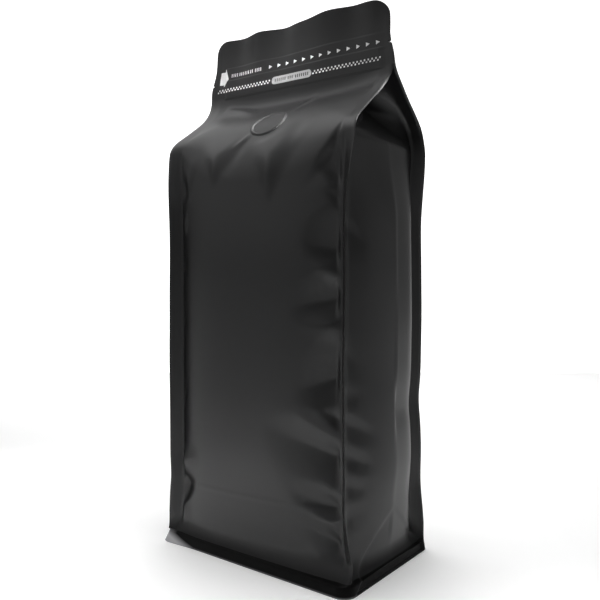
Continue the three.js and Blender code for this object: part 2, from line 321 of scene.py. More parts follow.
# Columns of the grid by what they belong to. The loop runs left side, front, right side, back.
half_count = QUARTER_COUNT - 1
column = np.arange(LOOP_COUNT)
from_front = np.minimum(np.abs(column - half_count), LOOP_COUNT - np.abs(column - half_count))
on_front = from_front <= PANEL_STEPS
on_back = from_front >= 2 * half_count - PANEL_STEPS
on_side = np.abs(from_front - half_count) < LEAF_STEPS + FLAP_STEPS
on_right = (column > half_count) & (column < 3 * half_count)


def grid_normals(levels):
    around = np.roll(levels, -1, axis=1) - np.roll(levels, 1, axis=1)
    upward = np.gradient(levels, axis=0)
    normal = np.cross(around, upward)
    return normal / np.maximum(np.linalg.norm(normal, axis=2, keepdims=True), 1e-9)


def valley(distance, z, seam, reach, tip, depth, above, below, widest=0.0):
    """A fold that runs on the film from a seam, at height seam, to a point reach millimetres off.

    The film slopes in to its floor over a few millimetres above it and a few below. It is
    widest at the seam, or at a share of the way out. A negative depth stands out as a ridge."""
    out = np.clip(distance / reach, 0, 1)
    past = np.clip((1 - out) / (1 - widest), 0, 1) ** 0.5
    spread = mix(0.15, 1, np.where(out < widest, mix(0.4, 1, out / max(widest, 0.001)), past))
    offset = z - mix(seam, tip, out)
    part = np.abs(offset) / (np.where(offset > 0, above, below) * spread + 1.0)
    section = mix(1 - ramp(part, 0, 1), np.clip(1 - part, 0, 1), 0.6)
    fade = ramp(distance, 0, 4) * (1 - ramp(out, 0.1, 1))
    near = (distance > 0) & (distance < reach)
    return np.where(near, -depth * section * fade, 0)


# Folds at a seam: height at the seam, reach, height at the tip, depth, slope above, slope
# below, and where it is widest if not at the seam. They fade out under the shoulder.
FOLDS_END = (246, 258)
FRONT_RIGHT_FOLDS = [
    (228, 18, 238, 2.2, 16, 10), (216, 12, 222, 1.4, 7, 6), (188, 28, 193, 4.0, 27, 15),
    (175, 20, 183, -1.5, 9, 9), (162, 34, 156, 4.2, 22, 16), (148, 26, 146, -1.2, 12, 12),
    (118, 30, 109, 4.4, 33, 17), (104, 20, 99, -0.9, 11, 11), (94, 18, 104, 2.2, 16, 7),
    (73, 52, 88, 4.0, 15, 34, 0.55), (44, 38, 52, 3.0, 12, 9, 0.3), (24, 34, 36, 2.6, 10, 12, 0.35),
]
FRONT_LEFT_FOLDS = [
    (228, 10, 232, 1.0, 10, 10), (206, 9, 210, -1.2, 10, 10), (178, 8, 182, 1.4, 11, 6),
    (143, 8, 146, 1.2, 10, 6), (95, 9, 100, 1.2, 14, 7), (54, 20, 58, -2.6, 14, 11),
    (37, 16, 42, 3.4, 9, 14), (20, 12, 22, -1.4, 12, 10),
]
SIDE_FRONT_FOLDS = [
    (203, 17, 190, 1.5, 8, 18), (133, 16, 118, 1.2, 14, 14), (108, 14, 106, 1.1, 7, 11),
    (93, 27, 80, 1.8, 8, 12), (74, 25, 64, 1.9, 9, 11), (57, 22, 52, 1.5, 9, 9),
    (38, 20, 40, 1.3, 9, 10),
]
SIDE_BACK_FOLDS = [
    (230, 11, 226, 1.0, 11, 11), (190, 10, 192, 0.8, 12, 9), (150, 9, 148, 0.8, 12, 9),
    (100, 11, 102, 1.0, 10, 11), (70, 10, 72, 1.0, 10, 10), (30, 14, 38, 1.2, 10, 10),
]
BACK_FOLDS = [
    (232, 22, 238, 2.8, 18, 9), (192, 28, 188, 3.6, 20, 12), (150, 24, 156, 2.8, 16, 10),
    (112, 32, 102, 3.6, 18, 12), (74, 44, 86, 4.0, 10, 26, 0.5), (38, 26, 42, 2.6, 10, 13),
]


def fold_relief(points, is_side, is_front, is_right, seam_distance):
    z = points[:, :, 2]
    relief = np.zeros(z.shape)
    groups = [
        (~is_side & is_front & is_right, FRONT_RIGHT_FOLDS),
        (~is_side & is_front & ~is_right, FRONT_LEFT_FOLDS),
        (is_side & is_front, SIDE_FRONT_FOLDS),
        (is_side & ~is_front, SIDE_BACK_FOLDS),
        (~is_side & ~is_front, BACK_FOLDS),
    ]
    for belongs, folds in groups:
        for numbers in folds:
            relief += np.where(belongs, valley(seam_distance, z, *numbers), 0)
    return relief


# For each point of the grid: the wall it lies on, and how far it is from that wall's seam.
grid_shape = LEVELS.shape[:2]
is_side = np.broadcast_to(on_side, grid_shape)
is_front = np.broadcast_to(from_front <= half_count, grid_shape)
is_right = np.broadcast_to(on_right, grid_shape)
is_wall = np.broadcast_to(on_front | on_back, grid_shape)
across_x, heights_grid = LEVELS[:, :, 0], LEVELS[:, :, 2]
side_y = LEVELS[:, :, 1] - LEVELS[:, 0, 1][:, None]
root_x = np.array([corner_half_width(z) for z in HEIGHTS])[:, None]
panel_distance = root_x - np.abs(across_x)
front_root, back_root = (np.array([wall_depth(z, wall) for z in HEIGHTS])[:, None] for wall in (FRONT, BACK))
side_distance = np.where(is_front, front_root, back_root) - FIN_THICKNESS - np.abs(side_y)
seam_distance = np.where(is_side, side_distance, np.where(is_wall, panel_distance, -1))

normals = grid_normals(LEVELS)
relief = fold_relief(LEVELS, is_side, is_front, is_right, seam_distance)
relief *= 1 - ramp(heights_grid, *FOLDS_END)

# The upright crease down the middle of each side splits into two that run to the base corners,
# with a flat three-cornered panel between them that is set back a little.
CREASE_SPLIT_HEIGHT, CREASE_SPLAY = 39.0, 1.15
CREASE_RISE, CREASE_WIDTH = 0.13, 0.7
PANEL_SET_BACK = 1.6
from_crease = np.abs(side_y - np.where(is_right, 2.0, 0.0))
spread = np.clip(CREASE_SPLIT_HEIGHT - heights_grid, 0, None) * CREASE_SPLAY
nearest = np.where(heights_grid > CREASE_SPLIT_HEIGHT, from_crease, np.abs(from_crease - spread))
crease_here = is_side & (heights_grid < FOLD_HEIGHT + 4) & (heights_grid > SKIRT_HEIGHT + 3)
relief += np.where(crease_here, CREASE_RISE * np.exp(-nearest / CREASE_WIDTH), 0)
within = ramp(spread - from_crease, -1.5, 3) * share(CREASE_SPLIT_HEIGHT - heights_grid, 0, 30)
relief -= np.where(is_side & (heights_grid < CREASE_SPLIT_HEIGHT), PANEL_SET_BACK * within, 0)

# The faint crease across the front and back, where the flat bag was folded for its base.
BASE_CREASE_HEIGHT, BASE_CREASE_TILT, BASE_CREASE_RISE = 42, 0.025, 0.16
from_base_crease = heights_grid - (BASE_CREASE_HEIGHT + BASE_CREASE_TILT * across_x)
relief += np.where(is_wall, BASE_CREASE_RISE * np.exp(-(from_base_crease**2)), 0)

# Where the middle of the valve shows through the film: the drawn film carries it a little to
# the left of the solid's middle and up the slope.
VALVE_SHIFT_X, VALVE_SHIFT_Z = -1.3, 0.8
valve_low, valve_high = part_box("valve")
VALVE_X = round((valve_low.x + valve_high.x) / 2 / MM, 1) + VALVE_SHIFT_X
VALVE_Z = round((valve_low.z + valve_high.z) / 2 / MM, 1) + VALVE_SHIFT_Z


def tongue(x, z, corner_a, corner_b, tip, rise):
    """A three-cornered facet that stands out more and more towards its tip."""
    (ax, az), (bx, bz), (tx, tz) = corner_a, corner_b, tip
    area = (bz - tz) * (ax - tx) + (tx - bx) * (az - tz)
    share_a = ((bz - tz) * (x - tx) + (tx - bx) * (z - tz)) / area
    share_b = ((tz - az) * (x - tx) + (ax - tx) * (z - tz)) / area
    to_tip = 1 - share_a - share_b
    return rise * ramp(np.minimum(share_a, share_b), 0, 0.33) * ramp(to_tip, -0.15, 0.75)


def crease(x, z, start, end, width, rise):
    """A soft ridge between two places on a wall, x and z. A negative rise is a hollow."""
    run = np.array(end) - np.array(start)
    along = ((x - start[0]) * run[0] + (z - start[1]) * run[1]) / (run @ run)
    aside = np.abs((x - start[0]) * run[1] - (z - start[1]) * run[0]) / np.linalg.norm(run)
    taper = np.sin(math.pi * np.clip(along, 0, 1)) ** 0.8
    return rise * taper * np.exp(-((aside / width) ** 2))


# The roll of each shoulder breaks into broad soft tongues that hang from the slope, with
# hollows between them. A tongue has two upper corners, a tip and a rise, and a crease has two
# ends, a width and a rise.
FRONT_TONGUES = [
    ((-52, 264), (-8, 258), (-31, 228), 3.0), ((-14, 264), (42, 264), (13, 214), 4.0),
    ((66, 230), (36, 226), (61, 264), -3.2), ((-66, 246), (-44, 250), (-54, 222), 1.5),
]
FRONT_CREASES = [
    ((-12, 260), (-22, 236), 5, -0.6), ((30, 276), (22, 246), 6, -0.7), ((-56, 288), (-22, 279), 2.4, 1.9),
    # The film is pulled tight from the rim of the valve to each side.
    ((-9, 263), (-20, 252), 1.3, 0.75), ((7, 276), (20, 288), 1.4, 0.6),
]
BACK_TONGUES = [
    ((40, 264), (6, 262), (22, 224), 2.2), ((0, 262), (-44, 262), (-20, 216), 2.6),
    ((-66, 234), (-42, 230), (-60, 262), -2.4), ((66, 234), (44, 230), (60, 262), -2.0),
]
BACK_CREASES = [((-40, 282), (-16, 276), 3, 0.8), ((3, 272), (-2, 240), 5, -0.5)]
shoulders = [(is_front, FRONT_TONGUES, FRONT_CREASES), (~is_front, BACK_TONGUES, BACK_CREASES)]
for this_half, tongues, creases in shoulders:
    broken = sum(tongue(across_x, heights_grid, *numbers) for numbers in tongues)
    # The stiff valve holds the film flat round it.
    from_valve = np.hypot(across_x - VALVE_X, (heights_grid - VALVE_Z) * 1.3)
    broken = broken * np.where(is_front, ramp(from_valve, 12, 20), 1)
    broken = broken + sum(crease(across_x, heights_grid, *numbers) for numbers in creases)
    relief += np.where(is_wall & this_half, broken * ramp(panel_distance, 0, 3), 0)

# The zip tape lies in a pocket of the film: a tab strip above a thicker zip strip, with the
# groove of the zip in it. Its ends, and the heights of its foot, groove, step and top.
ZIP_LEFT, ZIP_RIGHT = -58.5, 63.8
ZIP_FOOT, ZIP_GROOVE, ZIP_STEP, ZIP_TOP = 296.0, 302.2, 308.8, 317.4


def zip_rise(x, z):
    top = 1 - ramp(z, ZIP_TOP, ZIP_TOP + 0.8)
    step = 1 - ramp(z, ZIP_STEP, ZIP_STEP + 0.6)
    bottom = ramp(z, ZIP_FOOT, ZIP_FOOT + 1)
    groove = np.exp(-(((z - ZIP_GROOVE) / 0.35) ** 2))
    ends = ramp(x, ZIP_LEFT - 0.5, ZIP_LEFT + 0.3) * (1 - ramp(x, ZIP_RIGHT - 0.3, ZIP_RIGHT + 0.5))
    return (0.18 * top + 0.24 * step - 0.2 * groove) * bottom * ends


FRONT_EDGE = PANEL_STEPS + FIN_STEPS
relief += np.where(from_front <= FRONT_EDGE, zip_rise(across_x, heights_grid), 0)

LEVELS += normals * relief[:, :, None]

# The welded fins wave a little along their edges. Corner, height, reach, how far out.
FIN_WAVES = [
    ((1, 1), 96, 13, -1.5), ((1, 1), 62, 12, 0.5), ((1, 1), 150, 20, 0.4), ((1, 1), 205, 18, -0.4),
    ((-1, -1), 192, 22, -0.5), ((-1, -1), 120, 20, 0.4), ((-1, -1), 46, 9, -0.7),
    ((1, -1), 176, 22, 0.5), ((1, -1), 120, 16, -0.5), ((1, -1), 60, 14, 0.4), ((1, -1), 26, 8, -0.6),
    ((-1, 1), 210, 20, -0.6), ((-1, 1), 140, 22, 0.5), ((-1, 1), 80, 14, -1.0),
]
for (across, back), height, reach, out in FIN_WAVES:
    corner_here = (is_right == (across > 0)) & (is_front == (back < 0))
    near_edge = ramp(np.abs(across_x), 58, 70)
    wave = out * np.exp(-(((heights_grid - height) / reach) ** 2)) * near_edge
    LEVELS[:, :, 0] += np.where(corner_here, across * wave, 0)

# The left front corner of the skirt is bent so that it faces up.
BEND_START, BEND_FULL, BEND_OUT = 44, 70, 1.5
bent = ramp(-across_x, BEND_START, BEND_FULL) * is_front * (heights_grid < SKIRT_HEIGHT + SKIRT_LEDGE)
LEVELS[:, :, 1] += bent * mix(-BEND_OUT, BEND_OUT, share(heights_grid, 0, SKIRT_HEIGHT))

# Tear notches are nicked into both edges of the header.
edge_x = np.abs(across_x).max(axis=1, keepdims=True)
for side, middle in zip((-1, 1), TEAR_NOTCHES):
    cut = NOTCH_DEPTH * np.clip(1 - np.abs(heights_grid - middle) / NOTCH_HALF_HEIGHT, 0, 1)
    kept = np.minimum(np.abs(across_x), edge_x - cut)
    LEVELS[:, :, 0] = np.where(across_x * side > 0, side * kept, across_x)


def mesh_from_grid(name, levels):
    rows, count = levels.shape[:2]
    vertices = levels.reshape(-1, 3) * MM
    base = np.arange(count)
    following = (base + 1) % count
    faces = []
    for row in range(rows - 1):
        low, high = row * count, (row + 1) * count
        faces.append(np.column_stack([low + base, low + following, high + following, high + base]))
    # The ends close straight across, from each point of the front to the one behind it.
    front = np.arange(1, count // 2 - 1)
    top = (rows - 1) * count
    across = np.column_stack([front, count - front, count - front - 1, front + 1])
    faces.append(across)
    faces.append(across[:, ::-1] + top)
    quads = np.vstack(faces).tolist()
    ends = [[0, count - 1, 1], [count // 2 - 1, count // 2 + 1, count // 2]]
    quads += ends + [[top + index for index in reversed(end)] for end in ends]
    mesh = bpy.data.meshes.new(name)
    mesh.from_pydata(vertices.tolist(), [], quads)
    mesh.validate()
    mesh.update()
    piece = bpy.data.objects.new(name, mesh)
    bpy.context.scene.collection.objects.link(piece)
    return piece


pouch = mesh_from_grid("film_pouch", LEVELS)
pouch.data.polygons.foreach_set("use_smooth", [True] * len(pouch.data.polygons))


def linear(hex_colour):
    """An sRGB hex colour as linear red, green, blue and full alpha."""
    channels = [int(hex_colour[i : i + 2], 16) / 255 for i in (1, 3, 5)]
    return [c / 12.92 if c <= 0.04045 else ((c + 0.055) / 1.055) ** 2.4 for c in channels] + [1]


def add_node(tree, kind, settings=None, links=None):
    """Adds a node, sets its sockets and properties by name, and links outputs into its inputs."""
    node = tree.nodes.new(kind)
    for name, value in (settings or {}).items():
        if hasattr(node, name):
            setattr(node, name, value)
        else:
            node.inputs[name].default_value = value
    for name, output in (links or {}).items():
        tree.links.new(output, node.inputs[name])
    return node


def new_material(name):
    material = bpy.data.materials.new(name)
    material.use_nodes = True
    tree = material.node_tree
    return material, tree, tree.nodes["Principled BSDF"]


# Matt overprint varnish on black laminated film: a dark body under a soft wide shine, with a
# very fine tooth and a slight change of shine where the film was handled. The heat of the base
# weld has dulled it for a few millimetres above the skirt. Handled places to the metre, the
# size of the tooth, and the heights between which the film turns from dull to clear.
HANDLED_PLACES = 18.0
FILM_TOOTH = 0.5
DULL_HEIGHT, CLEAR_HEIGHT = 8, 17


def black_film_material(name, smoothest, roughest):
    material, tree, shader = new_material(name)
    place = add_node(tree, "ShaderNodeTexCoord")
    shader.inputs["Base Color"].default_value = linear("#0a0a0b")
    shader.inputs["IOR"].default_value = 1.5
    handling = add_node(
        tree, "ShaderNodeTexNoise", {"Scale": HANDLED_PLACES, "Detail": 4.0, "Roughness": 0.6},
        {"Vector": place.outputs["Object"]},
    )
    shine = add_node(
        tree, "ShaderNodeMapRange", {"To Min": smoothest, "To Max": roughest},
        {"Value": handling.outputs["Fac"]},
    )
    axes = add_node(tree, "ShaderNodeSeparateXYZ", links={"Vector": place.outputs["Object"]})
    dulled = add_node(
        tree, "ShaderNodeMapRange",
        {"From Min": DULL_HEIGHT * MM, "From Max": CLEAR_HEIGHT * MM, "To Min": 0.85, "To Max": 0.3},
        {"Value": axes.outputs["Z"]},
    )
    roughness = add_node(tree, "ShaderNodeMath", {"operation": "MAXIMUM"})
    tree.links.new(shine.outputs["Result"], roughness.inputs[0])
    tree.links.new(dulled.outputs["Result"], roughness.inputs[1])
    tree.links.new(roughness.outputs["Value"], shader.inputs["Roughness"])
    tooth = add_node(
        tree, "ShaderNodeTexNoise", {"Scale": 1 / (FILM_TOOTH * MM), "Detail": 2.0},
        {"Vector": place.outputs["Object"]},
    )
    bump = add_node(
        tree, "ShaderNodeBump", {"Strength": 0.06, "Distance": 0.05 * MM},
        {"Height": tooth.outputs["Fac"]},
    )
    tree.links.new(bump.outputs["Normal"], shader.inputs["Normal"])
    return material


film = black_film_material("matt_black_laminated_film", 0.36, 0.42)
pouch.data.materials.append(film)


# On the welded skirt the film is given a near-black colour, painted shade for the foot of the
# bag where it stands in its own shadow, and a weak shine. The bent left corner of the skirt,
# which faces up, has a painted highlight in its colour, less and less along the bottom edge.
# Places across the bag where the painted highlight starts and is full, and the size of the
# weld's grain.
PAINTED_HIGHLIGHT_START, PAINTED_HIGHLIGHT_FULL = -46, -72
WELD_GRAIN = 3


def welded_film_painted_light_material():
    material, tree, shader = new_material("welded_film_painted_shade_and_highlight")
    place = add_node(tree, "ShaderNodeTexCoord")
    shader.inputs["Specular IOR Level"].default_value = 0.08
    grain = add_node(
        tree, "ShaderNodeTexNoise", {"Scale": 1 / (WELD_GRAIN * MM), "Detail": 3.0},
        {"Vector": place.outputs["Object"]},
    )
    shine = add_node(
        tree, "ShaderNodeMapRange", {"To Min": 0.4, "To Max": 0.55}, {"Value": grain.outputs["Fac"]}
    )
    tree.links.new(shine.outputs["Result"], shader.inputs["Roughness"])
    axes = add_node(tree, "ShaderNodeSeparateXYZ", links={"Vector": place.outputs["Object"]})
    # How strong the painted highlight is: full at the left corner, fading up the skirt and towards the back.
    along = add_node(
        tree, "ShaderNodeMapRange",
        {"From Min": PAINTED_HIGHLIGHT_START * MM, "From Max": PAINTED_HIGHLIGHT_FULL * MM, "To Min": 0.0, "To Max": 1.1},
        {"Value": axes.outputs["X"]},
    )
    height = add_node(
        tree, "ShaderNodeMapRange", {"From Min": 0.0, "From Max": SKIRT_HEIGHT * MM},
        {"Value": axes.outputs["Z"]},
    )
    over = add_node(tree, "ShaderNodeMath", {"operation": "SUBTRACT"})
    tree.links.new(along.outputs["Result"], over.inputs[0])
    tree.links.new(height.outputs["Result"], over.inputs[1])
    highlight_falloff = add_node(
        tree, "ShaderNodeMapRange", {"From Min": -0.25, "From Max": 0.4},
        {"Value": over.outputs["Value"]},
    )
    to_front = add_node(
        tree, "ShaderNodeMapRange", {"From Min": -20 * MM, "From Max": -36 * MM},
        {"Value": axes.outputs["Y"]},
    )
    painted_highlight = add_node(tree, "ShaderNodeMath", {"operation": "MULTIPLY"})
    tree.links.new(highlight_falloff.outputs["Result"], painted_highlight.inputs[0])
    tree.links.new(to_front.outputs["Result"], painted_highlight.inputs[1])
    tone = add_node(tree, "ShaderNodeMix", {"data_type": "RGBA"}, {"Factor": painted_highlight.outputs["Value"]})
    # Near-black: painted shade for the foot of the bag.
    tone.inputs["A"].default_value = linear("#030303")
    # Pale grey: a painted highlight on the bent corner that faces up.
    tone.inputs["B"].default_value = linear("#b4b4b6")
    tree.links.new(tone.outputs["Result"], shader.inputs["Base Color"])
    return material


pouch.data.materials.append(welded_film_painted_light_material())
# The rows of the skirt and its ledge take the material with the painted shade and highlight.
WELD_TOP = SKIRT_HEIGHT + 1.2
weld_rows = int(np.searchsorted(HEIGHTS, WELD_TOP))
slots = np.zeros(len(pouch.data.polygons), dtype=np.int32)
slots[: weld_rows * LOOP_COUNT] = 1
pouch.data.polygons.foreach_set("material_index", slots)
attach(pouch, "root")
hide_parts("pouch")

# ---------------------------------------------------------------------------
# Degassing valve
# A round moulded plate with a raised rim, heat sealed to the inside of the
# front slope, so the film is drawn tight over it. Three pin holes let gas out.
# ---------------------------------------------------------------------------

front_span = np.arange(half_count - FRONT_EDGE, half_count + FRONT_EDGE + 1)


def film_front(x, z):
    """Depth of the front film at a place, in millimetres, read between its two nearest levels."""
    row = int(np.clip(np.searchsorted(HEIGHTS, z) - 1, 0, len(HEIGHTS) - 2))
    part = (z - HEIGHTS[row]) / (HEIGHTS[row + 1] - HEIGHTS[row])
    low, high = (np.interp(x, LEVELS[r, front_span, 0], LEVELS[r, front_span, 1]) for r in (row, row + 1))
    return mix(low, high, part)


def finish_piece(name, material, smooth=True):
    """Names the active piece, brings its place into its mesh, and gives it a finish and a body."""
    piece = bpy.context.object
    piece.name = name
    bpy.ops.object.transform_apply(location=True, rotation=True, scale=True)
    piece.data.materials.append(material)
    if smooth:
        bpy.ops.object.shade_smooth_by_angle(angle=math.radians(40))
    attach(piece, "root")
    piece.select_set(False)
    return piece


# Rings of the valve from the outside in: radius, rise above the film.
VALVE_RINGS = [
    (13.6, -0.3), (12.7, -0.02), (12.3, 0.2), (11.9, 0.55), (11.5, 0.78), (11.1, 0.78), (10.7, 0.5),
    (10.3, 0.2), (9.9, 0.1), (9.4, 0.12), (9.0, 0.12), (8.0, 0.12), (6.0, 0.16), (4.0, 0.18), (2.0, 0.18),
]

bpy.ops.mesh.primitive_circle_add(vertices=72, radius=VALVE_RINGS[0][0] * MM, fill_type="NGON")
valve = bpy.context.object
bpy.ops.object.mode_set(mode="EDIT")
for (outer, low), (inner, high) in zip(VALVE_RINGS, VALVE_RINGS[1:]):
    bpy.ops.mesh.inset(thickness=(outer - inner) * MM, depth=(high - low) * MM)
bpy.ops.object.mode_set(mode="OBJECT")

up_slope = np.array([0, film_front(VALVE_X, VALVE_Z + 4) - film_front(VALVE_X, VALVE_Z - 4), 8])
up_slope /= np.linalg.norm(up_slope)
facing = np.cross([1, 0, 0], up_slope)
for corner in valve.data.vertices:
    across, along, rise = np.array(corner.co) / MM
    x, z = VALVE_X + across, VALVE_Z + along * up_slope[2]
    rise += VALVE_RINGS[0][1]
    corner.co = Vector([x, film_front(x, z), z] + facing * rise) * MM
# The film is stretched over the rim of the valve, so its shine is rougher there.
stretched_film = black_film_material("stretched_film_over_valve", 0.45, 0.5)
finish_piece("gas_valve", stretched_film)
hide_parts("valve")

# Hot-pin holes are not cut in the film: dark dots laid on it are painted shade for the inside of each hole.
HOLE_RADIUS, HOLE_RISE = 0.42, 0.14
HOLES = [(-1.6, -3.4), (3.6, 1.6), (-3.4, 3.2)]
pin_hole_painted_shade, _, hole_shader = new_material("painted_shade_in_pin_hole")
hole_shader.inputs["Base Color"].default_value = linear("#050505")
hole_shader.inputs["Roughness"].default_value = 0.8
for across, along in HOLES:
    bpy.ops.mesh.primitive_circle_add(vertices=16, radius=HOLE_RADIUS * MM, fill_type="NGON")
    hole = bpy.context.object
    for corner in hole.data.vertices:
        step_x, step_along = corner.co.x / MM + across, corner.co.y / MM + along
        x, z = VALVE_X + step_x, VALVE_Z + step_along * up_slope[2]
        corner.co = Vector([x, film_front(x, z), z] + facing * HOLE_RISE) * MM
    finish_piece("valve_hole", pin_hole_painted_shade, smooth=False)

# ---------------------------------------------------------------------------
# Print on the header
# White ink under the matt varnish: a pull arrow, a row of dashes and triangles
# along the zip, and a chequered line broken by a pale rounded patch.
# ---------------------------------------------------------------------------

INK_LIFT = 0.12


def lay_on_film(piece, lift=INK_LIFT):
    """Lays a flat figure, drawn in millimetres across and up, on the front film."""
    for corner in piece.data.vertices:
        x, z = corner.co.x / MM, corner.co.y / MM
        corner.co = Vector([x, film_front(x, z) - lift, z]) * MM


# Ink on film: flat, slightly uneven in cover, with the same soft shine as the varnish over it.
# The size of the uneven places.
INK_MOTTLE = 1.4


def ink_material(name, colour, darker):
    material, tree, shader = new_material(name)
    place = add_node(tree, "ShaderNodeTexCoord")
    cover = add_node(
        tree, "ShaderNodeTexNoise", {"Scale": 1 / (INK_MOTTLE * MM), "Detail": 3.0},
        {"Vector": place.outputs["Object"]},
    )
    tone = add_node(tree, "ShaderNodeMix", {"data_type": "RGBA"}, {"Factor": cover.outputs["Fac"]})
    tone.inputs["A"].default_value = linear(colour)
    tone.inputs["B"].default_value = linear(darker)
    tree.links.new(tone.outputs["Result"], shader.inputs["Base Color"])
    shader.inputs["Roughness"].default_value = 0.5
    return material


white_ink = ink_material("white_film_ink", "#dcdcdc", "#c8c8c8")
grey_ink = ink_material("pale_grey_film_ink", "#9e9e9e", "#8c8c8c")
dark_ink = ink_material("dark_grey_film_ink", "#242424", "#1a1a1a")


def place_in_order(points):
    """A flat figure with these corners, in millimetres, in order."""
    bpy.ops.mesh.primitive_circle_add(vertices=len(points), radius=MM, fill_type="NGON")
    figure = bpy.context.object
    for corner, (x, z) in zip(figure.data.vertices, points):
        corner.co = Vector((x * MM, z * MM, 0))
    return figure


def join_figures(figures):
    for figure in figures:
        figure.select_set(True)
    bpy.context.view_layer.objects.active = figures[0]
    bpy.ops.object.join()


# A row of triangles that point to the right.
TRIANGLE_XS, TRIANGLE_Z = np.linspace(-20.3, 61.1, 13), 312.4
TRIANGLE_RADIUS, TRIANGLE_FLATNESS = 1.7, 0.86
triangles = []
for x in TRIANGLE_XS:
    bpy.ops.mesh.primitive_circle_add(vertices=3, radius=TRIANGLE_RADIUS * MM, fill_type="NGON")
    triangle = bpy.context.object
    for corner in triangle.data.vertices:
        corner.co = (x * MM + corner.co.y, TRIANGLE_Z * MM - corner.co.x * TRIANGLE_FLATNESS, 0)
    lay_on_film(triangle)
    triangles.append(triangle)
join_figures(triangles)
finish_piece("printed_triangles", white_ink, smooth=False)


def print_bars(name, lefts, width, bottom, top, ink, lift):
    """A row of upright bars of ink, each with its left edge at one of lefts."""
    bars = []
    for left in lefts:
        right = left + width
        bars.append(place_in_order([(left, bottom), (right, bottom), (right, top), (left, top)]))
        lay_on_film(bars[-1], lift)
    join_figures(bars)
    finish_piece(name, ink, smooth=False)


# Five groups of bars by the arrow: left edge of each group, and how many bars.
BAR_GROUPS = [(-54.0, 4), (-47.2, 3), (-42.3, 3), (-37.2, 2), (-32.8, 4)]
DASH_STEP, DASH_WIDTH, DASH_BOTTOM, DASH_TOP = 1.55, 0.6, 311.0, 313.3
dash_lefts = [left for start, bars in BAR_GROUPS for left in start + DASH_STEP * np.arange(bars)]
print_bars("printed_dashes", dash_lefts, DASH_WIDTH, DASH_BOTTOM, DASH_TOP, white_ink, INK_LIFT)

# The pull arrow at the left end, cut up finely so that it follows the film.
ARROW = [
    (-64.5, 306.9), (-60.5, 306.7), (-60.6, 305.3), (-56.5, 310.4), (-59.5, 317.8), (-59.7, 315.5),
    (-63.5, 315.6),
]
arrow = place_in_order(ARROW)
bpy.ops.object.mode_set(mode="EDIT")
bpy.ops.mesh.quads_convert_to_tris()
bpy.ops.mesh.subdivide(number_cuts=3)
bpy.ops.object.mode_set(mode="OBJECT")
lay_on_film(arrow)
finish_piece("printed_pull_arrow", white_ink, smooth=False)

# Two rows of small squares, set corner to corner with a hair of black film between them.
PATCH_LEFT, PATCH_RIGHT, PATCH_HALF = -18.2, 13.8, 2.45
CHEQUER_LEFT, CHEQUER_RIGHT, CHEQUER_SIZE, CHEQUER_GAP = -66.2, 64.9, 1.3, 0.25
CHEQUER_Z = 302.5
count = int((CHEQUER_RIGHT - CHEQUER_LEFT) / CHEQUER_SIZE)
bpy.ops.mesh.primitive_grid_add(x_subdivisions=count, y_subdivisions=2, size=1)
chequer = bpy.context.object
for corner in chequer.data.vertices:
    corner.co.x = (CHEQUER_LEFT + (corner.co.x + 0.5) * count * CHEQUER_SIZE) * MM
    corner.co.y = (CHEQUER_Z + corner.co.y * 2 * CHEQUER_SIZE) * MM
bpy.ops.object.mode_set(mode="EDIT")
bpy.ops.mesh.select_mode(type="FACE")
bpy.ops.mesh.select_all(action="DESELECT")
bpy.ops.object.mode_set(mode="OBJECT")
for face in chequer.data.polygons:
    x, z = face.center.xy / MM
    step = int((x - CHEQUER_LEFT) / CHEQUER_SIZE) + (z > CHEQUER_Z)
    face.select = step % 2 == 0 and not PATCH_LEFT - 0.6 < x < PATCH_RIGHT + 0.6
bpy.ops.object.mode_set(mode="EDIT")
bpy.ops.mesh.inset(thickness=CHEQUER_GAP / 2 * MM, use_individual=True)
bpy.ops.mesh.select_all(action="INVERT")
bpy.ops.mesh.delete(type="FACE")
bpy.ops.object.mode_set(mode="OBJECT")
lay_on_film(chequer)
finish_piece("printed_chequer_line", white_ink, smooth=False)

# The pale patch is a long bar with round ends.
patch_middle, patch_half_width = (PATCH_LEFT + PATCH_RIGHT) / 2, (PATCH_RIGHT - PATCH_LEFT) / 2
bpy.ops.mesh.primitive_grid_add(x_subdivisions=60, y_subdivisions=4, size=1)
patch = bpy.context.object
for corner in patch.data.vertices:
    across = corner.co.x * 2 * patch_half_width
    past = max(abs(across) - (patch_half_width - PATCH_HALF), 0)
    half = math.sqrt(max(PATCH_HALF**2 - past**2, 0.02))
    corner.co = Vector(((patch_middle + across) * MM, (CHEQUER_Z + corner.co.y * 2 * half) * MM, 0))
lay_on_film(patch)
finish_piece("printed_patch", grey_ink, smooth=False)

# Three groups of small dark bars on the patch: left edge of each group, and how many bars.
MARK_GROUPS = [(-15.4, 6), (-4.8, 3), (1.2, 7)]
MARK_STEP, MARK_WIDTH, MARK_BOTTOM, MARK_TOP = 1.6, 0.7, 301.5, 303.5
mark_lefts = [left for start, bars in MARK_GROUPS for left in start + MARK_STEP * np.arange(bars)]
print_bars("printed_patch_dashes", mark_lefts, MARK_WIDTH, MARK_BOTTOM, MARK_TOP, dark_ink, 2 * INK_LIFT)

# ---------------------------------------------------------------------------
# Floor and backdrop
# Translucent white sheets, as for pack pictures on white: a wide one on the table,
# lit a little from below, and one that curves up behind the bag, lit from behind.
# ---------------------------------------------------------------------------

CAMERA_TURN = math.radians(36.23)
FLOOR_SIZE = 9
BACKDROP_AWAY, BACKDROP_WIDTH, BACKDROP_HEIGHT, BACKDROP_COVE = 1.3, 1.75, 1.3, 0.45
# Share of the backdrop's strips that form its cove.
COVE_PART = 0.75


